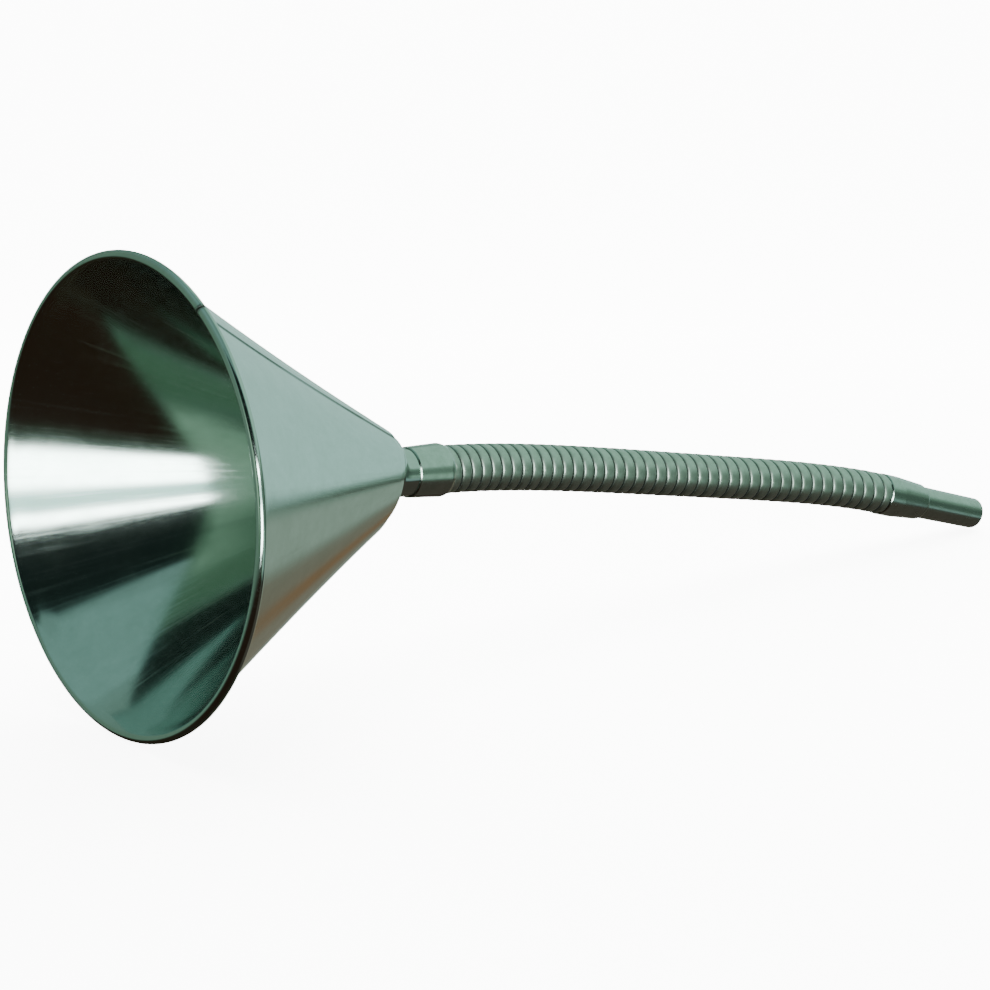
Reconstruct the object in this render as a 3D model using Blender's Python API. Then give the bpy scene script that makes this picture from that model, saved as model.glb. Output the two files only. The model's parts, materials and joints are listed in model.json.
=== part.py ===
"""A sheet-metal funnel with a flexible metal spout, lying on its side on a bench.

The funnel lies on two points: the flat under its wired rim and the lower edge of its nozzle. X runs from
the mouth towards the nozzle, Y is level across the funnel, and Z is up. Every piece of the funnel is a
turned solid, made in its own frame with its axis along X, and then set in line along the spout's spine.

Dimensions below are in millimetres along the spine from the mouth, and radii from the spine.
"""
import math

import bmesh
import bpy
from mathutils import Matrix, Vector

MM = 0.001
GAP = 0.3                       # clearance between pieces that solder or a crimp holds

# Cone: one rolled sheet, slightly hollow along its side, with its edge curled over a wire.
MOUTH_R = 80.0                  # outside of the wired rim
BEAD_R = 1.3                    # outside of the curl
SHEET = 0.4
WIRE_R = 0.55
CONE_LEN = 101.0
CONE_END_R = 19.3
CONE_HOLLOW = 1.8               # how far the side dips inside a straight cone at mid-length
CONE_SIDES = 28
CURL_FROM_DEG, CURL_TO_DEG = -408.0, -124.0     # the curl, round the wire from its free edge to the side
SIDE_STATIONS = (8.0, 20.0, 36.0, 52.0, 68.0, 84.0, CONE_LEN)

# Throat: a spun cup soldered into the cone, turning in over a round shoulder to a short neck.
THROAT_LAP = 6.0
THROAT_WALL = 0.5
SHOULDER_R = 7.0
FILLET_R = 3.5
NECK_R = 8.75
NECK_END = 122.0
THROAT_SIDES = 24

# Inlet ferrule: a crimped sleeve over the neck and the end of the hose. It widens to a rounded bead, then
# closes down on the hose.
INLET_START, INLET_BEAD, INLET_END = 115.5, 124.4, 131.8
INLET_START_R, INLET_BEAD_R, INLET_END_R = 9.6, 10.1, 9.45
INLET_BEAD_HALF = 0.8           # half the length of the bead's top
INLET_BEAD_FALL = 2.2           # from the bead's middle to where it has closed down
FERRULE_WALL = 0.55

# Hose: strip-wound turns. Two turns make one link, and a spherical tongue joins each to the next.
HOSE_START = 132.3
TURN = 6.0
TURNS_PER_LINK = 2
LINK_COUNT = 20
HOSE_R = 8.95
GROOVE_R = 8.35
GROOVE = 1.35                   # groove between two turns, and the play between two links
GROOVE_LEAN = 0.25              # the groove's sides lean by this much
BORE_R = 6.2
TONGUE_R = 7.4
TONGUE = 1.8                    # how far the tongue reaches past the joint's centre
SOCKET_R = 7.85
SOCKET = 3.2
TAIL_R = 8.3                    # plain ends of the hose inside the ferrules
INLET_TAIL, OUTLET_TAIL = 9.6, 9.0
RING_SIDES = 16

# Outlet ferrule and tapered nozzle.
OUTLET_LEN = 24.5
OUTLET_R = 9.2
OUTLET_PLAIN = 8.0              # the straight part over the hose, before the taper
OUTLET_EDGE = 2.0               # the rolled edge on the nozzle
OUTLET_EDGE_R, OUTLET_END_R = 8.4, 8.1
NOZZLE_LAP = 7.5
NOZZLE_LEN = 42.8               # the part that stands out of the ferrule
NOZZLE_BIG_R = 7.25
NOZZLE_TIP_R = 7.0
NOZZLE_WALL = 0.6

# Spine: straight through the neck, then drooping, most sharply at the two ends of the hose.
BEND_START = 133.0
BEND_LEN = 257.0
BEND_PER_MM = 0.0027            # radians per millimetre at either end of the bend
BEND_LEAN_DEG = 17.0            # how far the plane of the droop leans from the vertical

LINK = TURN * TURNS_PER_LINK

MERGE = 0.000001                # metres
SHARP_DEG = 35.0                # edges that turn more than this look sharp


def arc(centre, radius, start_deg, end_deg, steps):
    """Points along an arc in the (along, radius) plane, both ends included."""
    turn = [math.radians(start_deg + (end_deg - start_deg) * i / steps) for i in range(steps + 1)]
    return [(centre[0] + radius * math.cos(a), centre[1] + radius * math.sin(a)) for a in turn]


def sheet(outer, thickness):
    """The closed outline of a sheet whose outward side runs through the given points."""
    normals = []
    for here, there in zip(outer[:-1], outer[1:]):
        run = Vector(there) - Vector(here)
        normals.append(Vector((-run.y, run.x)).normalized())
    inner = []
    for i, point in enumerate(outer):
        before, after = normals[max(i - 1, 0)], normals[min(i, len(normals) - 1)]
        middle = (before + after).normalized()
        inner.append(tuple(Vector(point) - middle * (thickness / middle.dot(after))))
    return outer + inner[::-1]


def cone_radius(along):
    """Outside radius of the cone's side at a distance from the mouth."""
    part = along / CONE_LEN
    start_r = MOUTH_R - BEAD_R
    return start_r + (CONE_END_R - start_r) * part - CONE_HOLLOW * 4 * part * (1 - part)


def cone_outline():
    """The sheet from the free edge of its curl, round the wire, and down the cone's side."""
    centre = (BEAD_R, MOUTH_R - BEAD_R)
    curl = arc(centre, BEAD_R - SHEET, CURL_FROM_DEG, CURL_TO_DEG, 10)
    side = [(along, cone_radius(along)) for along in SIDE_STATIONS]
    return sheet(curl + side, SHEET)


def wire_outline():
    """The wire inside the curled edge."""
    return arc((BEAD_R, MOUTH_R - BEAD_R), WIRE_R, 0, -315, 7)


def throat_outline():
    """The cup's wall: a lap inside the cone, the round shoulder, the fillet and the neck."""
    inset = SHEET + GAP
    lap_start = CONE_LEN - THROAT_LAP
    edge = (CONE_LEN, CONE_END_R - inset)
    slope = math.atan2(cone_radius(lap_start) - CONE_END_R, THROAT_LAP)
    normal_deg = 90 - math.degrees(slope)
    centre = (edge[0] - SHOULDER_R * math.sin(slope), edge[1] - SHOULDER_R * math.cos(slope))
    shoulder = arc(centre, SHOULDER_R, normal_deg, 0, 5)
    fillet_centre = (centre[0] + SHOULDER_R + FILLET_R, NECK_R + FILLET_R)
    fillet = arc(fillet_centre, FILLET_R, 180, 270, 4)
    lap = (lap_start, cone_radius(lap_start) - inset)
    return sheet([lap] + shoulder + fillet + [(NECK_END, NECK_R)], THROAT_WALL)


def inlet_outline():
    """A sleeve that widens to its bead and closes down on the hose."""
    return sheet([
        (INLET_START, INLET_START_R), (INLET_BEAD - INLET_BEAD_HALF, INLET_BEAD_R),
        (INLET_BEAD + INLET_BEAD_HALF, INLET_BEAD_R), (INLET_BEAD + INLET_BEAD_FALL, INLET_END_R),
        (INLET_END, INLET_END_R),
    ], FERRULE_WALL)


def outlet_outline():
    """A sleeve that is plain over the hose and tapers to a rolled edge on the nozzle."""
    return sheet([
        (0, OUTLET_R), (OUTLET_PLAIN, OUTLET_R), (OUTLET_LEN - OUTLET_EDGE, OUTLET_EDGE_R),
        (OUTLET_LEN, OUTLET_END_R),
    ], FERRULE_WALL)


def nozzle_outline():
    """A plain tapered tube, its big end inside the ferrule."""
    start = OUTLET_LEN - NOZZLE_LAP
    tip = OUTLET_LEN + NOZZLE_LEN
    outer = [(start, NOZZLE_BIG_R), (OUTLET_LEN, NOZZLE_BIG_R), (tip, NOZZLE_TIP_R)]
    return outer + [(along, radius - NOZZLE_WALL) for along, radius in reversed(outer)]


def turns(start, count):
    """The outside of a run of turns, each a flat band with half a groove at either end."""
    points = []
    for i in range(count):
        low, high = start + i * TURN + GROOVE / 2, start + (i + 1) * TURN - GROOVE / 2
        points += [(low, HOSE_R), (high, HOSE_R)]
        if i < count - 1:
            points += [(high + GROOVE_LEAN, GROOVE_R), (high + GROOVE - GROOVE_LEAN, GROOVE_R)]
    return points


def tongue(centre):
    """The spherical male end about a joint's centre, from its root to the bore."""
    offsets = [-GROOVE / 2, 0.0, TONGUE / 2, TONGUE]
    ball = [(centre + x, math.sqrt(TONGUE_R ** 2 - x ** 2)) for x in offsets]
    return ball + [(centre + TONGUE, BORE_R)]


def socket(centre):
    """The female end about a joint's centre, from the bore to its mouth."""
    return [(centre + SOCKET, BORE_R), (centre + SOCKET, SOCKET_R), (centre + GROOVE / 2, SOCKET_R)]


def link_outline():
    """Two turns between two joints, 0 and LINK from the link's own origin."""
    return turns(0, TURNS_PER_LINK) + tongue(LINK) + socket(0)


def hose_root_outline():
    """The hose's fixed first turn, with its plain tail inside the inlet ferrule."""
    tail, end = HOSE_START - INLET_TAIL, HOSE_START + TURN
    outside = [(tail, TAIL_R), (HOSE_START - GROOVE / 2, TAIL_R), (HOSE_START, HOSE_R),
               (end - GROOVE / 2, HOSE_R)]
    return outside + tongue(end) + [(tail, BORE_R)]


def hose_tip_outline():
    """The hose's last turn, from its joint, with its plain tail inside the outlet ferrule."""
    tail = TURN + OUTLET_TAIL
    return turns(0, 1) + [(TURN + GROOVE / 2, TAIL_R), (tail, TAIL_R), (tail, BORE_R)] + socket(0)


def bend_angle(along):
    """How far the spine has turned from the cone's axis at a distance from the mouth."""
    part = min(max((along - BEND_START) / BEND_LEN, 0.0), 1.0)
    return BEND_PER_MM * BEND_LEN * ((2 * part - 1) ** 3 + 1) / 6


def heading(along):
    """The spine's direction in the funnel's frame, whose X is the cone's axis."""
    angle, lean = bend_angle(along), math.radians(BEND_LEAN_DEG)
    return Vector((math.cos(angle), -math.sin(angle) * math.sin(lean), -math.sin(angle) * math.cos(lean)))


def frame_at(place, direction):
    """A frame at a place in millimetres, its X along the direction and its Y level."""
    side = Vector((0, 0, 1)).cross(direction).normalized()
    up = direction.cross(side)
    turn = Matrix((direction, side, up)).transposed().to_4x4()
    return Matrix.Translation(place * MM) @ turn


def spout_frames():
    """The frames of the links, of the hose's last turn and of the outlet, each at its near end."""
    along = HOSE_START + TURN
    place = Vector((along, 0, 0))
    frames = []
    for _ in range(LINK_COUNT):
        direction = heading(along + LINK / 2)
        frames.append(frame_at(place, direction))
        place, along = place + direction * LINK, along + LINK
    direction = heading(along + TURN)
    tip = frame_at(place, direction)
    outlet = frame_at(place + direction * TURN, direction)
    return frames, tip, outlet


def make_material(name, colour, roughness, metallic):
    """A Principled material of one colour."""
    material = bpy.data.materials.new(name)
    material.use_nodes = True
    shader = material.node_tree.nodes["Principled BSDF"]
    shader.inputs["Base Color"].default_value = (*colour, 1)
    shader.inputs["Roughness"].default_value = roughness
    shader.inputs["Metallic"].default_value = metallic
    return material


def turned(outline, sides, material, name):
    """A solid of revolution about X, with a flat side facing down."""
    mesh = bpy.data.meshes.new(name)
    shape = bmesh.new()
    start = Matrix.Rotation(math.pi / sides, 3, "X")
    rim = [shape.verts.new(start @ Vector((x, 0, -r)) * MM) for x, r in outline]
    edges = [shape.edges.new((a, b)) for a, b in zip(rim, rim[1:] + rim[:1])]
    bmesh.ops.spin(shape, geom=rim + edges, cent=(0, 0, 0), axis=(1, 0, 0),
                   angle=2 * math.pi, steps=sides, use_merge=True)
    bmesh.ops.remove_doubles(shape, verts=shape.verts, dist=MERGE)
    bmesh.ops.recalc_face_normals(shape, faces=shape.faces)
    shape.to_mesh(mesh)
    shape.free()
    mesh.shade_smooth()
    mesh.set_sharp_from_angle(angle=math.radians(SHARP_DEG))
    mesh.materials.append(material)
    return mesh


def add_piece(name, mesh, parent, matrix=None):
    """One named piece under a parent."""
    piece = bpy.data.objects.new(name, mesh)
    bpy.context.collection.objects.link(piece)
    piece.parent = parent
    if matrix is not None:
        piece.matrix_local = matrix
    return piece


def resting_tilt(outlet):
    """The turn about Y that brings the rim's lower flat and the nozzle's lower edge level."""
    rim = Vector((BEAD_R, 0, -MOUTH_R * math.cos(math.pi / CONE_SIDES)))
    edge = Vector(((OUTLET_LEN + NOZZLE_LEN) * MM, 0, -NOZZLE_TIP_R * MM * math.cos(math.pi / RING_SIDES)))
    nozzle = outlet @ edge / MM
    return math.atan2(nozzle.z - rim.z, nozzle.x - rim.x)


def stand_on_floor(root, pieces):
    """Moves the funnel so that the middle of its bounding box's base is the origin."""
    bpy.context.view_layer.update()
    points = [piece.matrix_world @ v.co for piece in pieces for v in piece.data.vertices]
    low = Vector([min(p[i] for p in points) for i in range(3)])
    high = Vector([max(p[i] for p in points) for i in range(3)])
    root.location = (-(low.x + high.x) / 2, -(low.y + high.y) / 2, -low.z)


def build_funnel():
    """Makes every piece and lays the funnel down."""
    tinplate = make_material("tinplate", (0.52, 0.57, 0.55), 0.28, 0.95)
    wire = make_material("steel_wire", (0.45, 0.47, 0.46), 0.35, 1.0)
    plated = make_material("plated_steel", (0.50, 0.54, 0.51), 0.24, 1.0)
    strip = make_material("hose_strip", (0.40, 0.44, 0.40), 0.32, 1.0)

    frames, tip, outlet = spout_frames()
    root = bpy.data.objects.new("funnel", None)
    bpy.context.collection.objects.link(root)
    root.rotation_euler = (0, resting_tilt(outlet), 0)

    pieces = [
        add_piece("funnel_cone", turned(cone_outline(), CONE_SIDES, tinplate, "cone"), root),
        add_piece("rim_wire", turned(wire_outline(), CONE_SIDES, wire, "wire"), root),
        add_piece("throat_cup", turned(throat_outline(), THROAT_SIDES, tinplate, "throat"), root),
        add_piece("inlet_ferrule", turned(inlet_outline(), THROAT_SIDES, plated, "inlet"), root),
        add_piece("hose_root", turned(hose_root_outline(), RING_SIDES, strip, "hose_root"), root),
    ]
    link = turned(link_outline(), RING_SIDES, strip, "link")
    for number, frame in enumerate(frames, start=1):
        pieces.append(add_piece(f"hose_link_{number:02d}", link, root, frame))
    last = turned(hose_tip_outline(), RING_SIDES, strip, "hose_tip")
    pieces.append(add_piece("hose_tip", last, root, tip))
    sleeve = turned(outlet_outline(), RING_SIDES, plated, "outlet")
    pieces.append(add_piece("outlet_ferrule", sleeve, root, outlet))
    spout = turned(nozzle_outline(), RING_SIDES, plated, "nozzle")
    pieces.append(add_piece("nozzle", spout, root, outlet))
    stand_on_floor(root, pieces)


for old in list(bpy.data.objects):
    bpy.data.objects.remove(old)
build_funnel()
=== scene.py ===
"""A sheet-metal funnel with a flexible metal spout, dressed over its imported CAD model.

The funnel is a rolled and lapped tinplate cone with a wired rim, a throat cup, a crimped sleeve, a
strip-wound hose, and a second sleeve drawn down on a tapered nozzle. Every new piece is a surface of two
parameters, the distance along the funnel's spine and the angle round it, worked out as whole numpy arrays.
Lengths are in metres.
"""
import json
import logging
import math
from dataclasses import dataclass, field
from enum import Enum

import bmesh
import bpy
import numpy as np
from mathutils import Matrix, Vector


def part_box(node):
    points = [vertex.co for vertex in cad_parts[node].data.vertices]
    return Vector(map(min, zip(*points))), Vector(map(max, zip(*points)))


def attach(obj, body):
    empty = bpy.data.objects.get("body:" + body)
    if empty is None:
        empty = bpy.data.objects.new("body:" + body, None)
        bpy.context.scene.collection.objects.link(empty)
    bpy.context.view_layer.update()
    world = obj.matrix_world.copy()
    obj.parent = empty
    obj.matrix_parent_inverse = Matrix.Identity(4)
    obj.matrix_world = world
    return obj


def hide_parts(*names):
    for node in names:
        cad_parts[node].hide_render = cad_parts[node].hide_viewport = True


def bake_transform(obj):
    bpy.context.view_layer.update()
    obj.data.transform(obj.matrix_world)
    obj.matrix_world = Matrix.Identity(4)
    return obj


log = logging.getLogger("funnel")

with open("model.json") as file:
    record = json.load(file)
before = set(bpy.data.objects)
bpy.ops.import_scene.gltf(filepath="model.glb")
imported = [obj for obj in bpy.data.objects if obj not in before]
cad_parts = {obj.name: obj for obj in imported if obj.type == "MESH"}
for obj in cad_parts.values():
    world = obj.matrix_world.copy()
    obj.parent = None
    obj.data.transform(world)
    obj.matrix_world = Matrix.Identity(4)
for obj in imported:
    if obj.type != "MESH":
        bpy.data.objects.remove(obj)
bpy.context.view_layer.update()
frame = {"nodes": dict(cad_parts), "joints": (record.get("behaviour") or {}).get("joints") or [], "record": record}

MM = 0.001
TURN = 2 * math.pi
WIRE_DEPTH = 1.3 * MM            # the wire's middle, behind the plane of the mouth
LAST_TURN = 6.0 * MM             # from the last joint to the end of the hose
FLOOR = -0.6 * MM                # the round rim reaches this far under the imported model's flats
MERGE = 0.002 * MM               # points closer than this are made one
SHARP = math.radians(40)         # edges that turn by more than this stay sharp
STRAIGHT = math.radians(89.9)    # a corner whose half angle is over this needs no rounding
MIX_FACTOR, MIX_UNDER, MIX_OVER, MIX_COLOUR = 0, 6, 7, 2        # the colour sockets of a Mix node
Outline = list[tuple[float, float]]
Colour = tuple[float, float, float, float]


# ---------------------------------------------------------------------------------------------- shapes
def unit(vectors: np.ndarray) -> np.ndarray:
    """Vectors divided by their lengths.

    Args:
        vectors: an array whose last axis is x, y, z.

    Returns:
        The same array with every vector of length one.
    """
    return vectors / np.linalg.norm(vectors, axis=-1, keepdims=True)


def arc(centre: tuple[float, float], radius: float, start: float, end: float, steps: int) -> Outline:
    """Points on a circle: centre + radius times (cos, sin) of an angle that runs from start to end.

    Args:
        centre: the circle's centre as (along, out).
        radius: its radius.
        start: first angle in degrees.
        end: last angle in degrees.
        steps: number of chords.

    Returns:
        The points, both ends included.
    """
    turn = np.radians(np.linspace(start, end, steps + 1))
    return list(zip(centre[0] + radius * np.cos(turn), centre[1] + radius * np.sin(turn)))


def filleted(corners: list[tuple[float, float, float]], steps: int = 6) -> Outline:
    """An open outline whose corners are rounded.

    Each corner is replaced by the circle that touches both of its sides: it starts r / tan(half the
    corner's angle) before the corner and ends as far after it.

    Args:
        corners: (along, out, corner radius), in order; the two ends stay sharp.
        steps: chords in each rounded corner.

    Returns:
        The outline's points.
    """
    points: Outline = [corners[0][:2]]
    for before, here, after in zip(corners[:-2], corners[1:-1], corners[2:]):
        corner = np.array(here[:2])
        back, on = unit(np.array(before[:2]) - corner), unit(np.array(after[:2]) - corner)
        half = math.acos(float(np.clip(back @ on, -1, 1))) / 2
        if here[2] <= 0 or half > STRAIGHT:
            points.append(here[:2])
            continue
        reach = here[2] / math.tan(half)
        middle = corner + unit(back + on) * here[2] / math.sin(half)
        first, last = corner + back * reach - middle, corner + on * reach - middle
        part = np.linspace(0, 1, steps + 1)[:, None]
        bend = math.pi - 2 * half
        swing = (np.sin((1 - part) * bend) * first + np.sin(part * bend) * last) / math.sin(bend)
        points += [tuple(p) for p in middle + swing]
    points.append(corners[-1][:2])
    return points


def sheet(outer: Outline, wall: float) -> Outline:
    """The closed outline of a sheet: the outward side, then the same line set in by the wall.

    Args:
        outer: the sheet's outward side, mouth end first.
        wall: the sheet's thickness.

    Returns:
        The closed outline's points, the last joined to the first.
    """
    line = np.array(outer)
    run = unit(np.diff(line, axis=0))
    normal = np.stack([-run[:, 1], run[:, 0]], axis=1)
    before, after = np.vstack([normal[:1], normal]), np.vstack([normal, normal[-1:]])
    middle = unit(before + after)
    inner = line - middle * (wall / np.sum(middle * after, axis=1, keepdims=True))
    return outer + [tuple(p) for p in inner[::-1]]


def spread(outline: Outline, longest: float) -> np.ndarray:
    """A closed outline with extra points, so that no side is longer than a given length.

    Args:
        outline: the closed outline.
        longest: the longest side allowed.

    Returns:
        An array of (along, out).
    """
    points = np.array(outline)
    following = np.roll(points, -1, axis=0)
    pieces = []
    for a, b in zip(points, following):
        count = max(1, math.ceil(float(np.linalg.norm(b - a)) / longest))
        part = np.arange(count)[:, None] / count
        pieces.append(a + (b - a) * part)
    return np.vstack(pieces)


@dataclass(frozen=True)
class Spine:
    """The funnel's centre line, a smooth curve through the mouth, every joint and the nozzle's end.

    Between two knots it is the cubic that leaves and meets them along their headings.
    """

    along: np.ndarray
    points: np.ndarray
    headings: np.ndarray

    def at(self, along: np.ndarray) -> tuple[np.ndarray, np.ndarray, np.ndarray]:
        """Centre, level side vector and upward vector at each distance from the mouth.

        Args:
            along: distances from the mouth, in any shape.

        Returns:
            Three arrays of that shape with x, y, z as their last axis.
        """
        k = np.clip(np.searchsorted(self.along, along, side="right") - 1, 0, len(self.along) - 2)
        start, length = self.along[k], (self.along[k + 1] - self.along[k])
        t = ((along - start) / length)[..., None]
        p0, p1 = self.points[k], self.points[k + 1]
        m0, m1 = self.headings[k] * length[..., None], self.headings[k + 1] * length[..., None]
        centre = ((2 * t**3 - 3 * t**2 + 1) * p0 + (t**3 - 2 * t**2 + t) * m0
                  + (3 * t**2 - 2 * t**3) * p1 + (t**3 - t**2) * m1)
        slope = ((6 * t**2 - 6 * t) * (p0 - p1) + (3 * t**2 - 4 * t + 1) * m0 + (3 * t**2 - 2 * t) * m1)
        heading = unit(slope)
        side = unit(np.cross(np.array([0.0, 0.0, 1.0]), heading))
        return centre, side, np.cross(heading, side)

    def surface(self, along: np.ndarray, out: np.ndarray, angle: np.ndarray) -> np.ndarray:
        """Points at a distance along the spine, a distance out from it, and an angle round it.

        The point is the centre, plus out times (cos angle up, sin angle towards the near side).

        Args:
            along: distances from the mouth.
            out: radii, of the same shape.
            angle: angles from the top, of the same shape.

        Returns:
            An array of that shape with x, y, z as its last axis.
        """
        centre, side, up = self.at(along)
        return centre + out[..., None] * (np.cos(angle)[..., None] * up - np.sin(angle)[..., None] * side)


def read_spine() -> Spine:
    """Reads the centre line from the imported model: the wire's middle, the joints and the nozzle's end.

    Returns:
        The spine, in metres from the plane of the mouth.
    """
    low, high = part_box("rim_wire")
    wire = (np.array(low) + np.array(high)) / 2
    joints = np.array([joint["pos_m"] for joint in frame["joints"]], float)
    axis = unit(joints[0] - wire)
    first = float(np.linalg.norm(joints[0] - wire)) + WIRE_DEPTH
    mouth = joints[0] - axis * first
    end_heading = unit(np.array(frame["record"]["mounts"][0]["axis"], float))
    tip = joints[-1] + end_heading * (LAST_TURN + Outlet.length + Outlet.nozzle)
    points = np.vstack([mouth, joints, tip])
    chords = unit(np.diff(points, axis=0))
    headings = unit(np.vstack([axis, chords[:-1] + chords[1:], end_heading]))
    headings[-2] = end_heading
    steps = np.linalg.norm(np.diff(points, axis=0), axis=1)
    return Spine(np.concatenate([[0.0], np.cumsum(steps)]), points, headings)


def volume(points: np.ndarray, quads: np.ndarray) -> float:
    """Six times a closed mesh's volume, positive where its faces point out.

    Args:
        points: the vertices.
        quads: four vertex numbers for each face.

    Returns:
        The sum, over the two triangles of each face, of the triple product of its corners.
    """
    a, b, c, d = (points[quads[:, i]] for i in range(4))
    return float(np.sum(a * np.cross(b, c)) + np.sum(a * np.cross(c, d)))


def make_piece(name: str, points: np.ndarray, quads: np.ndarray,
               spun: np.ndarray, shade_and_solder: np.ndarray | None = None) -> bpy.types.Object:
    """Makes a closed smooth mesh object, its faces turned outwards.

    Args:
        name: the piece's name.
        points: the vertices.
        quads: four vertex numbers for each face.
        spun: for each vertex, its place on a plain cylinder, which patterns follow.
        shade_and_solder: for each vertex, how dark it is made, from 0 to 1: painted shade in grooves, slits, bores
            and under sleeves, and solder along the cone's seam.

    Returns:
        The object, at the origin.
    """
    if volume(points, quads) < 0:
        quads = quads[:, ::-1]
    mesh = bpy.data.meshes.new(name)
    mesh.vertices.add(len(points))
    mesh.vertices.foreach_set("co", points.astype(np.float32).ravel())
    mesh.loops.add(quads.size)
    mesh.loops.foreach_set("vertex_index", quads.astype(np.int32).ravel())
    mesh.polygons.add(len(quads))
    mesh.polygons.foreach_set("loop_start", np.arange(0, quads.size, 4, dtype=np.int32))
    mesh.update(calc_edges=True)
    place = mesh.attributes.new("spun", "FLOAT_VECTOR", "POINT")
    place.data.foreach_set("vector", spun.astype(np.float32).ravel())
    # Per-vertex darkening for the materials: painted shade in grooves, slits, bores and under sleeves, and solder
    # on the cone's seam.
    shade_and_solder_amount = mesh.attributes.new("shade_and_solder", "FLOAT", "POINT")
    shade_and_solder_amount.data.foreach_set("value", (np.zeros(len(points)) if shade_and_solder is None else shade_and_solder).astype(np.float32))
    tidy = bmesh.new()
    tidy.from_mesh(mesh)
    bmesh.ops.remove_doubles(tidy, verts=tidy.verts, dist=MERGE)
    bmesh.ops.dissolve_degenerate(tidy, edges=tidy.edges, dist=MERGE)
    tidy.to_mesh(mesh)
    tidy.free()
    mesh.validate()
    mesh.shade_smooth()
    mesh.set_sharp_from_angle(angle=SHARP)
    piece = bpy.data.objects.new(name, mesh)
    bpy.context.collection.objects.link(piece)
    return piece


def ring_quads(rows: int, columns: int) -> np.ndarray:
    """Faces of a grid that closes both ways: row r meets r + 1, and column c meets c + 1.

    Args:
        rows: number of rows, along the closed outline.
        columns: number of columns, round the spine.

    Returns:
        Four vertex numbers for each face, for vertices numbered row by row.
    """
    row, column = np.meshgrid(np.arange(rows), np.arange(columns), indexing="ij")
    below, beside = (row + 1) % rows, (column + 1) % columns
    return np.stack([row * columns + column, row * columns + beside,
                     below * columns + beside, below * columns + column], axis=-1).reshape(-1, 4)


def turned(name: str, spine: Spine, outline: np.ndarray, angle: np.ndarray,
           offset: np.ndarray | None = None, shift: np.ndarray | None = None,
           shade_and_solder: np.ndarray | None = None) -> bpy.types.Object:
    """A closed outline carried round the spine.

    The point at outline row r and angle a is the spine's surface at the row's distance along plus the
    shift, its radius plus the offset, and a.

    Args:
        name: the piece's name.
        spine: the centre line.
        outline: (along, out) for each row, closed.
        angle: the angles round the spine, from the top, in order.
        offset: change of radius for each row and angle.
        shift: change of the distance along for each row and angle.
        shade_and_solder: how dark each row and angle is made, painted shade and solder.

    Returns:
        The object.
    """
    along, turn = np.meshgrid(outline[:, 0], angle, indexing="ij")
    out = outline[:, 1][:, None] + (np.zeros_like(along) if offset is None else offset)
    along = along if shift is None else along + shift
    points = spine.surface(along, out, turn).reshape(-1, 3)
    flat = float(outline[:, 1].mean())
    spun = np.stack([flat * np.cos(turn), flat * np.sin(turn), along], axis=-1).reshape(-1, 3)
    shade_and_solder_amount = None if shade_and_solder is None else shade_and_solder.reshape(-1)
    return make_piece(name, points, ring_quads(len(outline), len(angle)), spun, shade_and_solder_amount)


def around(columns: int) -> np.ndarray:
    """Evenly spaced angles round a full turn.

    Args:
        columns: how many.

    Returns:
        The angles from zero, in radians.
    """
    return np.linspace(0, TURN, columns, endpoint=False)


def off_angle(angle: np.ndarray, middle: float) -> np.ndarray:
    """How far angles lie from a middle angle, the short way round.

    Args:
        angle: the angles in radians.
        middle: the angle they are measured from.

    Returns:
        Values from minus to plus half a turn.
    """
    return (angle - middle + math.pi) % TURN - math.pi


def bell(offset: np.ndarray, width: float) -> np.ndarray:
    """A bell-shaped weight: e to the minus of the square of offset over width.

    Args:
        offset: distances from the bell's middle.
        width: the distance at which the weight has dropped to 0.37.

    Returns:
        Weights from 0 to 1.
    """
    return np.exp(-(offset / width) ** 2)


# ------------------------------------------------------------------------------------------- materials
def linear(colour: str) -> Colour:
    """An sRGB hex colour as linear red, green, blue and alpha: ((c + 0.055) / 1.055) to the 2.4.

    Args:
        colour: the colour as #RRGGBB.

    Returns:
        Its linear value, with an alpha of one.
    """
    channels = [int(colour[i:i + 2], 16) / 255 for i in (1, 3, 5)]
    return (*(c / 12.92 if c <= 0.04045 else ((c + 0.055) / 1.055) ** 2.4 for c in channels), 1.0)


def add_node(tree: bpy.types.NodeTree, kind: str, inputs: dict[str | int, object] | None = None,
             **settings: object) -> bpy.types.Node:
    """Adds a node, sets its properties, and sets or links its inputs.

    Args:
        tree: the node tree.
        kind: the node's type name.
        inputs: values or output sockets by input name or number.
        **settings: the node's own properties.

    Returns:
        The new node.
    """
    node = tree.nodes.new(kind)
    for key, value in settings.items():
        setattr(node, key, value)
    for key, value in (inputs or {}).items():
        if isinstance(value, bpy.types.NodeSocket):
            tree.links.new(value, node.inputs[key])
        else:
            node.inputs[key].default_value = value
    return node


def set_stops(ramp: bpy.types.Node, stops: list[tuple[float, str]]) -> bpy.types.NodeSocket:
    """Sets the stops of a colour ramp.

    Args:
        ramp: the ramp's node.
        stops: places from 0 to 1, each with its sRGB hex colour, in order.

    Returns:
        The ramp's colour output.
    """
    elements = ramp.color_ramp.elements
    elements[0].position, elements[0].color = stops[0][0], linear(stops[0][1])
    elements[1].position, elements[1].color = stops[-1][0], linear(stops[-1][1])
    for place, colour in stops[1:-1]:
        elements.new(place).color = linear(colour)
    return ramp.outputs["Color"]


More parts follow.
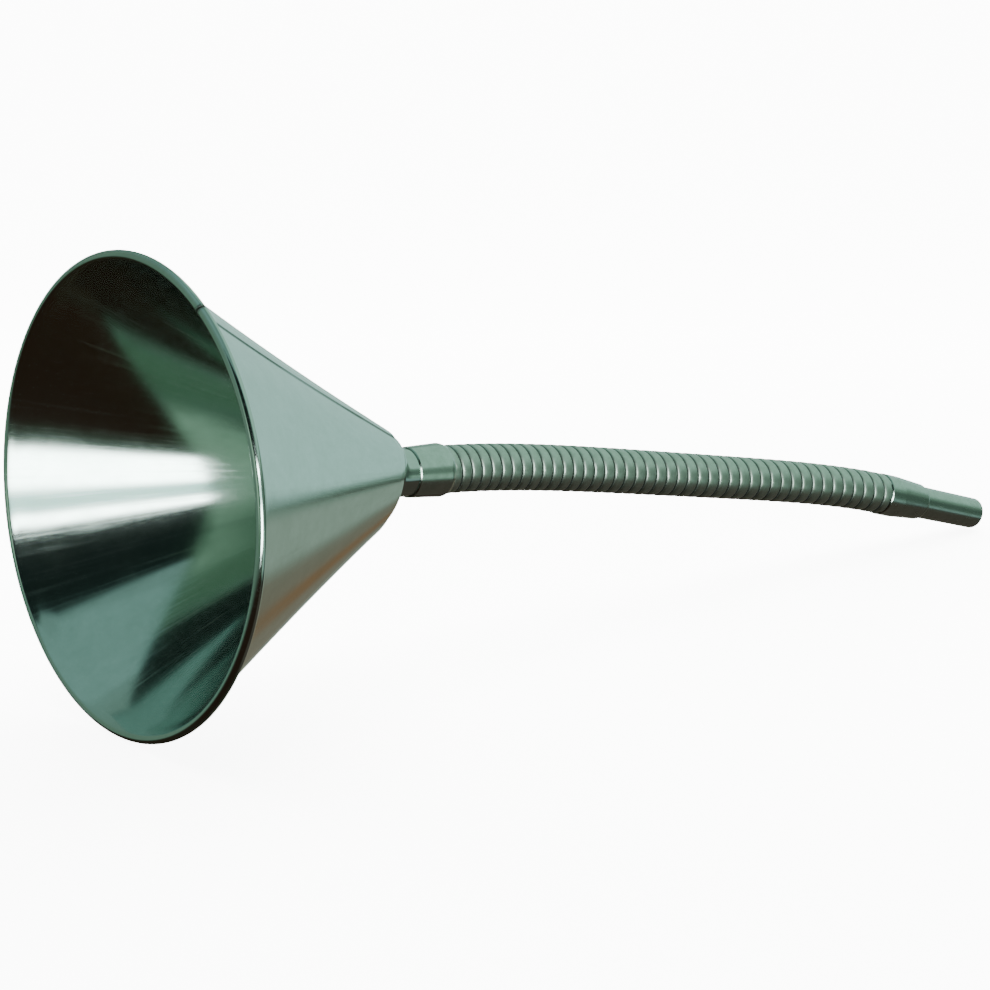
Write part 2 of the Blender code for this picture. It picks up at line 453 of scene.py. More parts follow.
@dataclass(frozen=True)
class PlatedMetal:
    """A plated steel surface: a cool bright metal with cloudy plating, fine scratches, solder and painted shade.

    The first fields differ from metal to metal; the rest shape the noise that all of them share.
    """

    name: str
    tint: str
    cloud_tint: str
    shade_and_solder_tint: str
    roughness: float
    rougher: float
    cloud_mm: float
    scratch_mm: float
    scratch_stretch: float
    bump_mm: float
    cloud_detail: float = 8.0
    cloud_grain: float = 0.74
    cloud_colour: tuple[float, float] = (0.30, 0.68)
    cloud_dulls: tuple[float, float] = (0.3, 0.7)
    scratch_detail: float = 3.0
    scratch_shows: tuple[float, float] = (0.52, 0.75)
    scratch_dulls: float = 0.06
    scratch_height: float = 0.35
    shade_and_solder_dulls: float = 0.25

    def build(self) -> bpy.types.Material:
        """Builds the material's nodes.

        Cloud noise moves the colour and the roughness; noise drawn out along the piece makes the
        scratches, which only lift the roughness and the bump.

        Returns:
            The material.
        """
        material = bpy.data.materials.new(self.name)
        material.use_nodes = True
        tree = material.node_tree
        shader = tree.nodes["Principled BSDF"]
        shader.inputs["Metallic"].default_value = 1.0
        place = add_node(tree, "ShaderNodeAttribute", attribute_name="spun").outputs["Vector"]
        shade_and_solder = add_node(tree, "ShaderNodeAttribute", attribute_name="shade_and_solder").outputs["Fac"]
        cloud = add_node(tree, "ShaderNodeTexNoise", {
            "Vector": place, "Scale": 1 / (self.cloud_mm * MM), "Detail": self.cloud_detail,
            "Roughness": self.cloud_grain}).outputs["Fac"]
        drawn = add_node(tree, "ShaderNodeMapping", {
            "Vector": place, "Scale": (1.0, 1.0, 1 / self.scratch_stretch)}).outputs["Vector"]
        scratch = add_node(tree, "ShaderNodeTexNoise", {
            "Vector": drawn, "Scale": 1 / (self.scratch_mm * MM),
            "Detail": self.scratch_detail}).outputs["Fac"]
        low, high = self.cloud_colour
        plating = set_stops(add_node(tree, "ShaderNodeValToRGB", {"Fac": cloud}),
                            [(low, self.cloud_tint), (high, self.tint)])
        # Painted shade: the base colour turns to the dark tint where the per-vertex darkening is high; on the
        # cone's seam the same mix is solder.
        shade_and_solder_mix = add_node(tree, "ShaderNodeMix", {
            MIX_FACTOR: shade_and_solder, MIX_UNDER: plating, MIX_OVER: linear(self.shade_and_solder_tint)}, data_type="RGBA")
        tree.links.new(shade_and_solder_mix.outputs[MIX_COLOUR], shader.inputs["Base Color"])
        low, high = self.cloud_dulls
        dull = add_node(tree, "ShaderNodeMapRange", {
            "Value": cloud, "From Min": low, "From Max": high,
            "To Min": self.rougher, "To Max": self.roughness}).outputs["Result"]
        low, high = self.scratch_shows
        fine = add_node(tree, "ShaderNodeMapRange", {
            "Value": scratch, "From Min": low, "From Max": high}).outputs["Result"]
        marked = add_node(tree, "ShaderNodeMath", {
            0: fine, 1: self.scratch_dulls, 2: dull}, operation="MULTIPLY_ADD")
        shade_and_solder_rough = add_node(tree, "ShaderNodeMath", {
            0: shade_and_solder, 1: self.shade_and_solder_dulls, 2: marked.outputs[0]}, operation="MULTIPLY_ADD")
        tree.links.new(shade_and_solder_rough.outputs[0], shader.inputs["Roughness"])
        height = add_node(tree, "ShaderNodeMath", {
            0: scratch, 1: self.scratch_height, 2: cloud}, operation="MULTIPLY_ADD")
        bump = add_node(tree, "ShaderNodeBump", {
            "Height": height.outputs[0], "Distance": self.bump_mm * MM, "Strength": 1.0})
        tree.links.new(bump.outputs["Normal"], shader.inputs["Normal"])
        return material


# Bright tinplate: steel sheet dipped in tin, rolled bright. The eye sees soft mirrors with cloudy grain. Its dark
# tint is the seam's solder, and painted shade in the slit of the curl.
TINPLATE = PlatedMetal("bright tinplate", tint="#CBD9D3", cloud_tint="#BFCEC6", shade_and_solder_tint="#3A3A32",
                       roughness=0.10, rougher=0.15, cloud_mm=9.0, scratch_mm=1.2,
                       scratch_stretch=30.0, bump_mm=0.0012)
# Zinc-plated strip, wound and folded: a little duller. Its dark tint is painted shade in the grooves between the
# turns, in the bore and on the ends under the sleeves.
STRIP = PlatedMetal("zinc-plated strip", tint="#D0DCD2", cloud_tint="#B4C2B5", shade_and_solder_tint="#2A352E",
                    roughness=0.33, rougher=0.44, cloud_mm=3.5, scratch_mm=0.5,
                    scratch_stretch=6.0, bump_mm=0.004)
# Zinc-plated drawn tube: bright, with marks of the crimping tool. Its dark tint is painted shade at the outlet
# sleeve's end, where the nozzle goes in.
TUBE = PlatedMetal("zinc-plated tube", tint="#CFDCD4", cloud_tint="#B8C6BC", shade_and_solder_tint="#1E2620",
                   roughness=0.17, rougher=0.26, cloud_mm=4.5, scratch_mm=0.6,
                   scratch_stretch=12.0, bump_mm=0.004)
# Plain drawn steel wire, seen only at the slit of the curled rim.
WIRE = PlatedMetal("drawn steel wire", tint="#A9AEA9", cloud_tint="#959A95", shade_and_solder_tint="#1E2620",
                   roughness=0.3, rougher=0.4, cloud_mm=3.0, scratch_mm=0.2,
                   scratch_stretch=10.0, bump_mm=0.002)


class Slot(Enum):
    """The record's material slots."""

    TINPLATE = "tinplate"
    TUBE = "plated_steel"
    STRIP = "hose_strip"


FINISHES = {Slot.TINPLATE: TINPLATE, Slot.TUBE: TUBE, Slot.STRIP: STRIP}
BUILT: dict[str, bpy.types.Material] = {}


def finish_of(metal: PlatedMetal) -> bpy.types.Material:
    """The material of a finish, built at its first use.

    Args:
        metal: the finish.

    Returns:
        Its material, the same one each time.
    """
    if metal.name not in BUILT:
        BUILT[metal.name] = metal.build()
    return BUILT[metal.name]


def dress(piece: bpy.types.Object, slot: Slot, *nodes: str) -> None:
    """Gives a piece the finish of its slot, and hides the CAD nodes it stands for.

    Args:
        piece: the piece.
        slot: the record's slot, whose finish it gets.
        *nodes: the CAD nodes it stands for.
    """
    piece.data.materials.append(finish_of(FINISHES[slot]))
    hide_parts(*nodes)
    log.info("%s: %d faces", piece.name, len(piece.data.polygons))


def settle(piece: bpy.types.Object, slot: Slot, body: str, node: str) -> bpy.types.Object:
    """Dresses a rigid piece and sets it on its body in place of its CAD node.

    Args:
        piece: the piece.
        slot: the record's slot, whose finish it gets.
        body: the CAD body it moves with.
        node: the CAD node it stands for.

    Returns:
        The piece.
    """
    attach(piece, body)
    dress(piece, slot, node)
    return piece


# -------------------------------------------------------------------------------------- sub-assemblies
@dataclass
class Cone:
    """The rolled sheet cone with its curled rim and lapped seam."""

    spine: Spine
    bead: float = 1.65 * MM
    mouth: float = 80.0 * MM
    length: float = 100.0 * MM
    end: float = 20.2 * MM
    hollow: float = 1.0 * MM
    wall: float = 0.4 * MM
    curl: tuple[float, float] = (-408, -124)
    curl_steps: int = 30
    side_from: float = 6 * MM
    side_steps: int = 24
    longest: float = 4 * MM
    columns: int = 264
    lap_angle: float = math.radians(34.0)
    lap_ramp: float = 19.8 * MM
    lap_edge: float = 0.3 * MM
    fine_reach: float = 2.4 * MM
    fine_columns: int = 25
    fine_gap: float = 3.0 * MM
    notch: float = 0.5 * MM
    notch_width: float = 0.5 * MM
    # Width of the painted shade in the slit of the curl.
    slit_shade_width: float = 0.8 * MM
    solder: float = 0.3
    solder_width: float = 1.1 * MM
    lean: float = 5.8 * MM
    lean_from: float = 70.0 * MM

    def side(self, along: float) -> float:
        """Outside radius: a straight cone less a parabola that is deepest at mid-length.

        Args:
            along: distance from the mouth.

        Returns:
            The radius there.
        """
        part = along / self.length
        start = self.mouth - self.bead
        return start + (self.end - start) * part - self.hollow * 4 * part * (1 - part)

    def fall(self) -> float:
        """How much the radius falls in each metre along, over the last 5 mm of the sheet."""
        last = 5 * MM
        return (self.side(self.length - last) - self.end) / last

    def leaning(self, along: np.ndarray, angle: np.ndarray) -> np.ndarray:
        """How far the small end is set on along: it is cut aslant, longest at the top.

        The shift is the lean times the cosine of the angle, growing with the square of the way
        from where the slant begins to the end of the sheet.

        Args:
            along: distances from the mouth.
            angle: angles from the top.

        Returns:
            The shift for each distance and angle.
        """
        part = np.clip((along - self.lean_from) / (self.length - self.lean_from), 0, 1) ** 2
        return self.lean * part[:, None] * np.cos(angle)[None, :]

    def outline(self) -> np.ndarray:
        """The sheet from the free edge of its curl, round the wire and down the side.

        Returns:
            The closed outline, as an array of (along, out).
        """
        centre = (self.bead, self.mouth - self.bead)
        curl = arc(centre, self.bead - self.wall, *self.curl, self.curl_steps)
        steps = np.linspace(self.side_from, self.length, self.side_steps)
        side = [(float(along), self.side(float(along))) for along in steps]
        return spread(sheet(curl + side, self.wall), self.longest)

    def angles(self) -> np.ndarray:
        """Even angles, with finer ones across the seam's free edge.

        Returns:
            The angles from the top, in order.
        """
        fine = np.linspace(-self.fine_reach, self.fine_reach, self.fine_columns) / self.mouth
        even = around(self.columns)
        kept = even[np.abs(off_angle(even, self.lap_angle)) > self.fine_gap / self.mouth]
        return np.sort(np.concatenate([kept, self.lap_angle + fine]))

    def lap(self, across: np.ndarray, in_curl: np.ndarray) -> np.ndarray:
        """The lapped seam: the radius rises by one wall over the lap, then drops at its free edge.

        The curl is slit where the two ends of the rolled sheet meet in it: a dip shaped like a bell.

        Args:
            across: distance round the cone from the seam's free edge, for each row and angle.
            in_curl: for each row, whether it is in the curl.

        Returns:
            The rise for each row and angle.
        """
        ramp = np.clip(1 + across / self.lap_ramp, 0, 1) ** 2
        edge = np.clip(0.5 - across / self.lap_edge, 0, 1)
        return np.where(in_curl, -self.notch * bell(across, self.notch_width), self.wall * ramp * edge)

    def shade_and_solder_amount(self, across: np.ndarray, in_curl: np.ndarray) -> np.ndarray:
        """Dull solder along the seam's edge, and painted shade darkening the slit of the curl.

        Args:
            across: distance round the cone from the seam's free edge, for each row and angle.
            in_curl: for each row, whether it is in the curl.

        Returns:
            The solder and painted shade for each row and angle.
        """
        solder = self.solder * bell(across, self.solder_width)
        # In the curl: painted shade in the slit. Elsewhere: the solder along the seam's edge.
        return np.where(in_curl, bell(across, self.slit_shade_width), solder)

    def build(self) -> bpy.types.Object:
        """Builds, dresses and places the cone.

        Returns:
            The object.
        """
        outline, angle = self.outline(), self.angles()
        across = off_angle(angle, self.lap_angle)[None, :] * outline[:, 1][:, None]
        in_curl = (outline[:, 0] < 2 * self.bead)[:, None]
        shift = self.leaning(outline[:, 0], angle)
        rise = self.lap(across, in_curl) - self.fall() * shift
        piece = turned("cone_sheet", self.spine, outline, angle, rise, shift, self.shade_and_solder_amount(across, in_curl))
        return settle(piece, Slot.TINPLATE, "funnel_body", "funnel_cone")


@dataclass
class Throat:
    """The spun cup that turns in from the cone over a round shoulder, and sweeps out into the neck."""

    spine: Spine
    cone: Cone
    lap: float = 6.0 * MM
    wall: float = 0.5 * MM
    gap: float = 0.3 * MM
    shoulder: float = 2.6 * MM
    shoulder_along: float = 104.4 * MM
    face_along: float = 106.6 * MM
    sweep: float = 8.0 * MM
    neck: float = 8.75 * MM
    neck_end: float = 122.0 * MM
    round_steps: int = 14
    longest: float = 2 * MM
    columns: int = 160

    def build(self) -> bpy.types.Object:
        """Builds, dresses and places the cup.

        Its shoulder leans as the end of the cone does. The lean dies out along the neck, and it
        changes the radius only where the cup is wider than the neck.

        Returns:
            The object.
        """
        inset = self.cone.wall + self.gap
        start = self.cone.length - self.lap
        shoulder = self.cone.end - inset - self.cone.fall() * (self.shoulder_along - self.cone.length)
        outer = filleted([
            (start, self.cone.side(start) - inset, 0),
            (self.shoulder_along, shoulder, self.shoulder),
            (self.face_along, self.neck, self.sweep),
            (self.neck_end, self.neck, 0)], self.round_steps)
        outline, angle = spread(sheet(outer, self.wall), self.longest), around(self.columns)
        wide = np.clip((outline[:, 1] - self.neck) / (shoulder - self.neck), 0, 1)
        dying = np.clip((self.neck_end - outline[:, 0]) / (self.neck_end - self.face_along), 0, 1)
        shift = self.cone.leaning(outline[:, 0], angle) * dying[:, None]
        drop = -self.cone.fall() * shift * wide[:, None]
        piece = turned("throat", self.spine, outline, angle, drop, shift)
        return settle(piece, Slot.TINPLATE, "funnel_body", "throat_cup")


@dataclass
class Inlet:
    """The crimped sleeve between the neck and the hose: it widens to a soft bead at the hose."""

    spine: Spine
    start: float = 118.3 * MM
    end: float = 134.5 * MM
    radius: float = 9.3 * MM
    end_radius: float = 9.95 * MM
    wall: float = 0.35 * MM
    start_chamfer: tuple[float, float] = (0.4 * MM, 0.25 * MM)
    bead_before_end: float = 1.6 * MM
    bead_round: float = 2.5 * MM
    end_chamfer: tuple[float, float] = (0.1 * MM, 0.3 * MM)
    end_drop: float = 0.8 * MM
    round_steps: int = 10
    longest: float = 1 * MM
    columns: int = 128

    def build(self) -> bpy.types.Object:
        """Builds, dresses and places the sleeve.

        Returns:
            The object.
        """
        in_along, in_out = self.start_chamfer
        out_along, out_out = self.end_chamfer
        lip = self.end_radius - self.end_drop
        outer = filleted([
            (self.start, self.radius - in_out, 0),
            (self.start + in_along, self.radius, in_along),
            (self.end - self.bead_before_end, self.end_radius, self.bead_round),
            (self.end - out_along, lip + out_out, out_out),
            (self.end, lip, 0)], self.round_steps)
        outline = spread(sheet(outer, self.wall), self.longest)
        piece = turned("inlet_sleeve", self.spine, outline, around(self.columns))
        return settle(piece, Slot.TUBE, "funnel_body", "inlet_ferrule")


@dataclass
class Spout:
    """The strip-wound hose: one long band wound right-handed, each turn lapping the one before.

    The turns lie closest at the funnel and are drawn out evenly towards the nozzle.
    """

    spine: Spine
    turns: int = 43
    first_pitch: float = 4.65 * MM
    link: float = 12.0 * MM
    start: float = 132.3 * MM
    root: float = 134.4 * MM
    end_gap: float = 0.2 * MM
    radius: float = 8.95 * MM
    bore: float = 6.2 * MM
    tail: float = 8.3 * MM
    tail_length: float = 8.0 * MM
    columns: int = 96
    bore_rows: int = 5
    # Painted shade: how dark the bore is made, and at what depth, and over what depth, the grooves between the
    # turns darken.
    bore_shade: float = 0.6
    groove_shade_from_mm: float = 0.12
    groove_shade_over_mm: float = 0.5
    band: Outline = field(default_factory=lambda: [
        # one turn: (share of the pitch, height over the radius in millimetres)
        (0.00, -0.75), (0.03, -0.42), (0.075, -0.20), (0.14, -0.06), (0.24, 0.02), (0.38, 0.05),
        (0.55, 0.04), (0.70, 0.00), (0.82, -0.06), (0.87, -0.14), (0.90, -0.35), (0.925, -0.75)])

    def hose_end(self) -> float:
        """Distance along at which the hose ends in the outlet sleeve."""
        return float(self.spine.along[-2]) + LAST_TURN

    def growth(self) -> float:
        """Half the rise of the pitch from one turn to the next, which makes the turns fill the hose."""
        return (self.hose_end() - self.start - self.first_pitch * self.turns) / self.turns ** 2

    def wound(self, turn: np.ndarray) -> np.ndarray:
        """Where the strip has come to after a number of turns.

        It is the start, plus the first pitch times n, plus the growth times n squared.

        Args:
            turn: numbers of turns.

        Returns:
            Distances along.
        """
        return self.start + self.first_pitch * turn + self.growth() * turn ** 2

    def unwound(self, along: np.ndarray | float) -> np.ndarray:
        """The number of turns at a distance along: the root of the same quadratic.

        Args:
            along: distances along.

        Returns:
            Numbers of turns.
        """
        root = self.first_pitch ** 2 + 4 * self.growth() * (along - self.start)
        return (np.sqrt(root) - self.first_pitch) / (2 * self.growth())

    def stretch(self, number: int) -> tuple[float, float]:
        """Where the piece over a joint starts and ends: from mid-link to mid-link.

        Args:
            number: the joint's number, from 1.

        Returns:
            The two distances along.
        """
        joint = float(self.spine.along[number])
        low, high = joint - self.link / 2, joint + self.link / 2
        if number == 1:
            low = self.root - self.tail_length
        if number == len(self.spine.along) - 2:
            high = self.hose_end() + self.tail_length
        return low, high

    def piece(self, number: int) -> bpy.types.Object:
        """The hose over one joint.

        Row k of the outside follows the helix: its distance along is where the strip has come to
        after (turn number, plus the band's share, plus the angle over a full turn) turns, held
        between the piece's two ends, and its radius is the band's height there. The bore is plain.

        Args:
            number: the joint's number, from 1.

        Returns:
            The object.
        """
        low, high = self.stretch(number)
        band = np.array(self.band)
        turns = np.arange(math.floor(self.unwound(low)) - 2, math.ceil(self.unwound(high)) + 2)
        phase = (turns[:, None] + band[None, :, 0]).reshape(-1)
        height = np.tile(band[:, 1], len(turns)) * MM
        angle = around(self.columns)
        share = angle / TURN
        along = np.clip(self.wound(phase[:, None] + share[None, :]), low, high)
        rise = np.interp(self.unwound(along) - share[None, :], phase, height)
        sleeved = (along < self.root) | (along > self.hose_end() - self.end_gap)
        out = np.where(sleeved, self.tail, self.radius + rise)
        # Painted shade: dark where the band dips into its groove, and fully dark on the ends hidden in the
        # sleeves.
        groove_shade = np.clip(-(rise / MM + self.groove_shade_from_mm) / self.groove_shade_over_mm, 0, 1)
        shade_and_solder = np.where(sleeved, 1.0, groove_shade)
        bore = np.linspace(high, low, self.bore_rows)[:, None] * np.ones((1, self.columns))
        full_along = np.vstack([along, bore])
        full_out = np.vstack([out, np.full_like(bore, self.bore)])
        # Painted shade in the bore.
        full_shade = np.vstack([shade_and_solder, np.full_like(bore, self.bore_shade)])
        turn = np.broadcast_to(angle, full_along.shape)
        points = self.spine.surface(full_along, full_out, turn)
        spun = np.stack([self.radius * np.cos(turn), self.radius * np.sin(turn), full_along], axis=-1)
        return make_piece(f"hose_{number:02d}", points.reshape(-1, 3),
                          self.quads(len(along), len(full_along), len(band)),
                          spun.reshape(-1, 3), full_shade.reshape(-1))

    def quads(self, outer: int, total: int, shift: int) -> np.ndarray:
        """Faces of the hose: the last column meets the first one turn on, outside, and level inside.

        Args:
            outer: number of rows outside.
            total: number of rows, outside and bore.
            shift: rows in one turn.

        Returns:
            Four vertex numbers for each face.
        """
        columns = self.columns
        row, column = np.meshgrid(np.arange(total), np.arange(columns), indexing="ij")
        below, beside = (row + 1) % total, (column + 1) % columns
        wraps = column == columns - 1
        row_on, below_on = (np.where(wraps & (r < outer), np.clip(r + shift, 0, outer - 1), r)
                            for r in (row, below))
        return np.stack([row * columns + column, row_on * columns + beside,
                         below_on * columns + beside, below * columns + column],
                        axis=-1).reshape(-1, 4)

    def build(self) -> list[bpy.types.Object]:
        """Builds every stretch of the hose, one over each joint.

        Returns:
            The objects, from the funnel to the nozzle.
        """
        made = []
        for number, joint in enumerate(frame["joints"], start=1):
            piece = self.piece(number)
            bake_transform(piece)
            nodes = ["hose_root"] if number == 1 else [f"hose_link_{number - 1:02d}"]
            if number == len(frame["joints"]):
                nodes.append("hose_tip")
            dress(piece, Slot.STRIP, *nodes)
            made.append(piece)
        return made


@dataclass
class Outlet:
    """The sleeve drawn down from the hose, and the tapered nozzle in it."""

    spine: Spine
    length: float = 27.0 * MM
    nozzle: float = 40.3 * MM
    radius: float = 9.2 * MM
    neck: float = 8.1 * MM
    wall: float = 0.45 * MM
    start_chamfer: tuple[float, float] = (0.5 * MM, 0.35 * MM)
    straight: float = 9 * MM
    swage_round: float = 12 * MM
    lip: float = 1.0 * MM
    lip_drop: float = 0.35 * MM
    # Painted shade at the sleeve's end, where the nozzle goes in: how dark, and over what length.
    lip_shade: float = 0.8
    lip_shade_width: float = 1.2 * MM
    nozzle_radius: float = 7.25 * MM
    nozzle_round: float = 5 * MM
    tip_radius: float = 7.0 * MM
    tip_round: float = 0.3 * MM
    lap: float = 12.0 * MM
    sleeve_steps: int = 10
    nozzle_steps: int = 5
    sleeve_longest: float = 1.2 * MM
    nozzle_longest: float = 2 * MM
    columns: int = 128

    def build(self) -> list[bpy.types.Object]:
        """Builds, dresses and places the sleeve and the nozzle.

        Returns:
            The two objects.
        """
        start = float(self.spine.along[-2]) + LAST_TURN
        end = start + self.length
        in_along, in_out = self.start_chamfer
        sleeve_outer = filleted([
            (start, self.radius - in_out, 0),
            (start + in_along, self.radius, in_along),
            (start + self.straight, self.radius, self.swage_round),
            (end - self.lip, self.neck, self.lip),
            (end, self.neck - self.lip_drop, 0)], self.sleeve_steps)
        outline = spread(sheet(sleeve_outer, self.wall), self.sleeve_longest)
        # Painted shade darkening the sleeve's last stretch, where the nozzle goes in.
        near_end = np.clip((outline[:, 0] - end) / self.lip_shade_width + 1.0, 0, 1)
        shade_and_solder = self.lip_shade * near_end[:, None] * np.ones((1, self.columns))
        sleeve = turned("outlet_sleeve", self.spine, outline, around(self.columns), shade_and_solder=shade_and_solder)
        tip = end + self.nozzle
        tube_outer = filleted([
            (end - self.lap, self.nozzle_radius, 0),
            (end, self.nozzle_radius, self.nozzle_round),
            (tip - self.tip_round, self.tip_radius, self.tip_round),
            (tip, self.tip_radius - self.tip_round, 0)], self.nozzle_steps)
        outline = spread(sheet(tube_outer, self.wall), self.nozzle_longest)
        tube = turned("nozzle_tube", self.spine, outline, around(self.columns))
        return [settle(sleeve, Slot.TUBE, "nozzle_body", "outlet_ferrule"),
                settle(tube, Slot.TUBE, "nozzle_body", "nozzle")]


# ---------------------------------------------------------------------------------------------- studio
@dataclass(frozen=True)
class Panel:
    """A soft panel of the studio's light tent, seen in the metal's reflections.

    Azimuth is from +Y towards +X and elevation from the horizon, in degrees; the panel fades over its
    edge.
    """

    azimuth: float
    elevation: float
    half_width: float
    half_height: float
    edge: float
    colour: str
    strength: float = 1.0


@dataclass
class Studio:
    """A pale floor and a light tent: pale and dark panels round a dim base, and a white view."""

    low: str = "#2C271E"
    middle: str = "#6E8B7B"
    high: str = "#7A9E97"
    base_from: float = -40.0
    base_to: float = 60.0
    white: str = "#FFFFFF"
    view_strength: float = 16.0
    paper: str = "#F7F7F5"
    paper_rough: float = 0.9
    paper_glow: float = 8.0
    floor_start: float = -1.4
    floor_flat: float = 2.2
    floor_bend: float = 0.9
    floor_wall: float = 1.6
    floor_half_width: float = 4.0
    floor_rows: int = 97
    floor_columns: int = 33
    lamp_size: float = 1.6
    lamp_power: float = 60.0
    lamp_place: tuple[float, float, float] = (0.1, 0.1, 1.6)
    panels: list[Panel] = field(default_factory=lambda: [
        # the bench, as the lower side of the cone sees it: brown far down, pale near the horizon
        Panel(-120, -58, 70, 32, 3, "#2B2018"),
        Panel(105, -48, 55, 18, 8, "#4C4740"),
        Panel(62, -28, 32, 6, 4, "#7F7B6C"),
        Panel(62, -17, 46, 5.5, 4, "#9DB0A2"),
        Panel(62, -26.5, 4, 2, 5, "#87694A"),
        # the wall behind on the right, which the outside of the cone sees
        Panel(105, 38, 60, 23, 8, "#9CC2B2", 1.4),
        Panel(62, 3, 36, 12, 5, "#C3EDE5", 1.08),
        Panel(128, -6, 13, 12, 6, "#4A5F54"),
        Panel(156, -17, 15, 9, 6, "#A9D2BD"),
        Panel(134, -23, 7, 4.5, 6, "#8FB0AC"),
        # the room in front on the left, which the inside of the cone sees
        Panel(-112, 2, 24, 12, 8, "#66876F"),
        Panel(-95, 9, 13, 12, 10, "#B6D8C0"),
        Panel(-138, 39.5, 36, 20.5, 3, "#182321"),
        Panel(-45, 72, 75, 15, 3, "#82AAA3"),
        # two windows in front on the left, one over the other, with a pale frame between them
        Panel(-159, 9, 18, 6, 2, "#C4F2EB", 2.4),
        Panel(-159, -5, 18, 9, 5, "#F4FFFC", 16.0),
        Panel(-159, 18.2, 18, 2.6, 2.5, "#F4FFFC", 16.0),
    ])

    def world(self) -> None:
        """Builds the light tent as nodes of the world.

        A direction's elevation is the arcsine of z and its azimuth the arctangent of x over y.
        """
        world = bpy.data.worlds.new("light_tent")
        world.use_nodes = True
        tree = world.node_tree
        tree.nodes.clear()
        degrees = 180 / math.pi
        way = add_node(tree, "ShaderNodeTexCoord").outputs["Generated"]
        split = add_node(tree, "ShaderNodeSeparateXYZ", {0: way}).outputs
        rise = add_node(tree, "ShaderNodeMath", {0: split["Z"]}, operation="ARCSINE")
        swing = add_node(tree, "ShaderNodeMath", {0: split["X"], 1: split["Y"]}, operation="ARCTAN2")
        elevation, azimuth = (add_node(tree, "ShaderNodeMath", {
            0: turn.outputs[0], 1: degrees}, operation="MULTIPLY").outputs[0] for turn in (rise, swing))
        height = add_node(tree, "ShaderNodeMapRange", {
            "Value": elevation, "From Min": self.base_from, "From Max": self.base_to}).outputs[0]
        colour = set_stops(add_node(tree, "ShaderNodeValToRGB", {"Fac": height}), [
            (0.0, self.low), (0.15, self.low), (0.3, self.middle), (0.6, self.middle), (1.0, self.high)])
        for panel in self.panels:
            colour = self.laid_over(tree, colour, azimuth, elevation, panel)
        seen = add_node(tree, "ShaderNodeLightPath").outputs["Is Camera Ray"]
        tent = add_node(tree, "ShaderNodeBackground", {"Color": colour, "Strength": 1.0})
        view = add_node(tree, "ShaderNodeBackground", {
            "Color": linear(self.white), "Strength": self.view_strength})
        mixed = add_node(tree, "ShaderNodeMixShader", {
            0: seen, 1: tent.outputs[0], 2: view.outputs[0]})
        add_node(tree, "ShaderNodeOutputWorld", {"Surface": mixed.outputs[0]})
        bpy.context.scene.world = world

    def laid_over(self, tree: bpy.types.NodeTree, under: bpy.types.NodeSocket,
                  azimuth: bpy.types.NodeSocket, elevation: bpy.types.NodeSocket,
                  panel: Panel) -> bpy.types.NodeSocket:
        """Lays one panel over the tent's colour.

        Its weight is the product, over azimuth and elevation, of a smooth step that falls from one
        to nothing over the panel's edge. The wrap brings the azimuth round at 180 degrees, and
        leaves the elevation as it is.

        Args:
            tree: the world's nodes.
            under: the colour so far.
            azimuth: the direction's azimuth in degrees.
            elevation: the direction's elevation in degrees.
            panel: the panel.

        Returns:
            The new colour.
        """
        shares = []
        for measure, middle, half in ((azimuth, panel.azimuth, panel.half_width),
                                      (elevation, panel.elevation, panel.half_height)):
            off = add_node(tree, "ShaderNodeMath", {0: measure, 1: middle}, operation="SUBTRACT")
            near = add_node(tree, "ShaderNodeMath", {0: off.outputs[0], 1: 180.0, 2: -180.0},
                            operation="WRAP")
            away = add_node(tree, "ShaderNodeMath", {0: near.outputs[0]}, operation="ABSOLUTE")
            share = add_node(tree, "ShaderNodeMapRange", {
                "Value": away.outputs[0], "From Min": half - panel.edge / 2,
                "From Max": half + panel.edge / 2, "To Min": 1.0, "To Max": 0.0},
                interpolation_type="SMOOTHSTEP")
            shares.append(share.outputs[0])
        weight = add_node(tree, "ShaderNodeMath", dict(enumerate(shares)), operation="MULTIPLY")
        red, green, blue = (c * panel.strength for c in linear(panel.colour)[:3])
        mixed = add_node(tree, "ShaderNodeMix", {
            MIX_FACTOR: weight.outputs[0], MIX_UNDER: under, MIX_OVER: (red, green, blue, 1.0)},
            data_type="RGBA")
        return mixed.outputs[MIX_COLOUR]

    def floor(self) -> bpy.types.Object:
        """A pale floor that sweeps up behind: flat, then a quarter circle, then upright.

        Returns:
            The floor.
        """
        flat, bend = self.floor_flat, self.floor_bend
        quarter = bend * math.pi / 2
        run = np.linspace(0, 1, self.floor_rows) * (flat + quarter + self.floor_wall)
        turn = np.clip((run - flat) / bend, 0, math.pi / 2)
        forward = np.minimum(run, flat) + bend * np.sin(turn) + self.floor_start
        height = bend * (1 - np.cos(turn)) + np.maximum(run - flat - quarter, 0)
        view = Camera.azimuth
        ahead = np.array([-math.sin(view), math.cos(view), 0.0])
        beside = np.array([ahead[1], -ahead[0], 0.0])
        across = np.linspace(-self.floor_half_width, self.floor_half_width, self.floor_columns)
        grid = (forward[:, None, None] * ahead + across[None, :, None] * beside
                + height[:, None, None] * np.array([0, 0, 1.0]))
        grid[..., 2] += FLOOR
        columns = self.floor_columns
        row, column = np.meshgrid(np.arange(self.floor_rows - 1), np.arange(columns - 1), indexing="ij")
        quads = np.stack([row * columns + column, row * columns + column + 1,
                          (row + 1) * columns + column + 1, (row + 1) * columns + column], axis=-1)
        mesh = bpy.data.meshes.new("floor")
        mesh.from_pydata(grid.reshape(-1, 3).tolist(), [], quads.reshape(-1, 4).tolist())
        mesh.shade_smooth()
        floor = bpy.data.objects.new("floor", mesh)
        bpy.context.collection.objects.link(floor)
        floor.visible_glossy = False
        material = bpy.data.materials.new("white paper")
        material.use_nodes = True
        shader = material.node_tree.nodes["Principled BSDF"]
        shader.inputs["Base Color"].default_value = linear(self.paper)
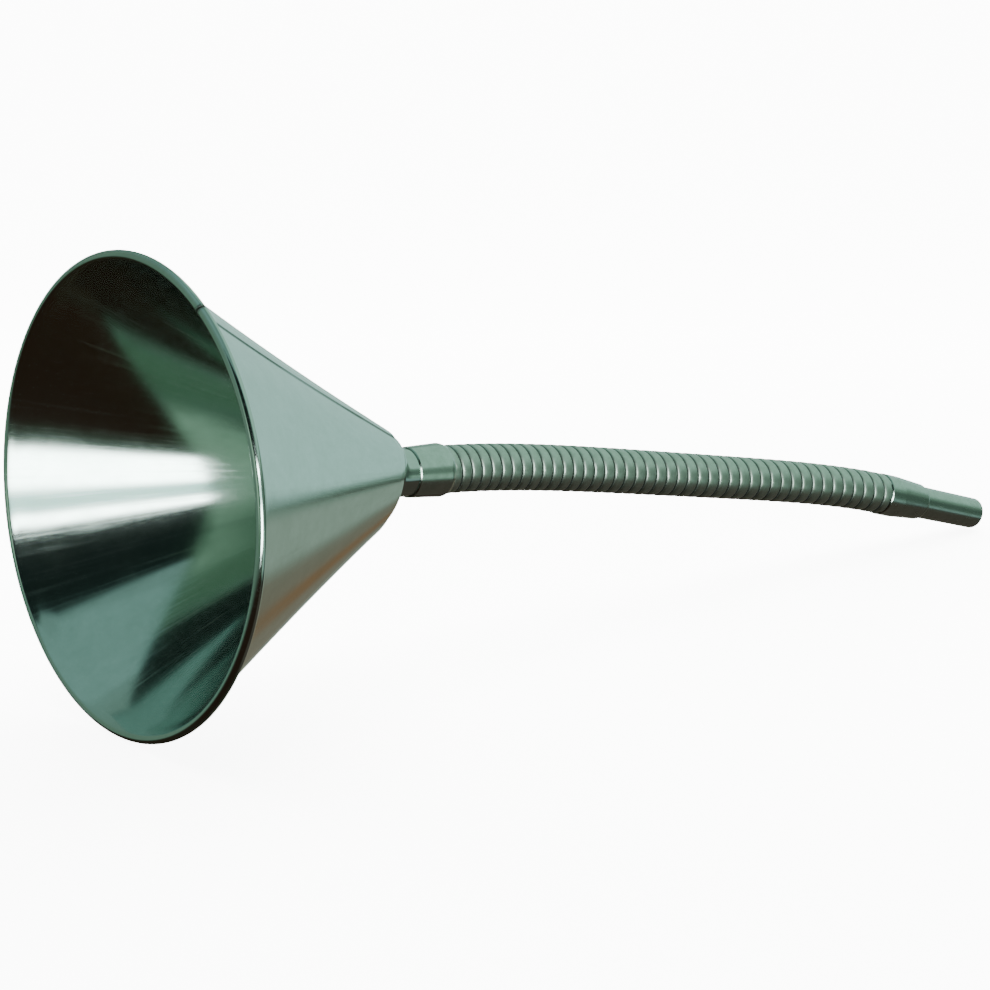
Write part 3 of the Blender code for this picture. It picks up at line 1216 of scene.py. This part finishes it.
        shader.inputs["Roughness"].default_value = self.paper_rough
        shader.inputs["Specular IOR Level"].default_value = 0.0
        shader.inputs["Emission Color"].default_value = linear(self.white)
        shader.inputs["Emission Strength"].default_value = self.paper_glow
        mesh.materials.append(material)
        return floor

    def lamp(self) -> None:
        """One wide soft lamp overhead, for the floor's light and the funnel's soft shadow."""
        light = bpy.data.lights.new("overhead", "AREA")
        light.shape = "DISK"
        light.size = self.lamp_size
        light.energy = self.lamp_power
        lamp = bpy.data.objects.new("overhead", light)
        bpy.context.collection.objects.link(lamp)
        lamp.location = self.lamp_place
        lamp.visible_glossy = False

    def build(self) -> None:
        """Builds the world, the floor and the lamp."""
        self.world()
        self.floor()
        self.lamp()


@dataclass
class Camera:
    """The view: a long lens in front on the mouth's side, a little above.

    The eye is measured from the middle of the mouth.
    """

    spine: Spine
    azimuth: float = math.radians(-40.86)
    elevation: float = math.radians(12.48)
    roll: float = math.radians(-0.53)
    eye: tuple[float, float, float] = (-321.8 * MM, -557.7 * MM, 140.1 * MM)
    lens: float = 72.9
    film: float = 36.0

    def build(self) -> None:
        """Places the camera. Its axes are the level right vector and its normal, turned by the roll."""
        data = bpy.data.cameras.new("view")
        data.lens, data.sensor_width = self.lens, self.film
        camera = bpy.data.objects.new("view", data)
        bpy.context.collection.objects.link(camera)
        back = Vector((math.sin(self.azimuth) * math.cos(self.elevation),
                       -math.cos(self.azimuth) * math.cos(self.elevation), math.sin(self.elevation)))
        level = Vector((math.cos(self.azimuth), math.sin(self.azimuth), 0))
        right = level * math.cos(self.roll) + back.cross(level) * math.sin(self.roll)
        turn = Matrix((right, back.cross(right), back)).transposed().to_4x4()
        camera.matrix_world = Matrix.Translation(Vector(self.spine.points[0]) + Vector(self.eye)) @ turn
        bpy.context.scene.camera = camera


def main() -> None:
    """Builds the funnel piece by piece, then the studio and the camera."""
    logging.basicConfig(level=logging.INFO, format="%(name)s: %(message)s")
    spine = read_spine()
    cone = Cone(spine)
    cone.build()
    Throat(spine, cone).build()
    Inlet(spine).build()
    Spout(spine).build()
    Outlet(spine).build()
    wire = frame["nodes"]["rim_wire"]
    wire.data.materials.clear()
    wire.data.materials.append(finish_of(WIRE))
    Studio().build()
    Camera(spine).build()
    bpy.context.view_layer.update()


if __name__ == "__main__":
    main()
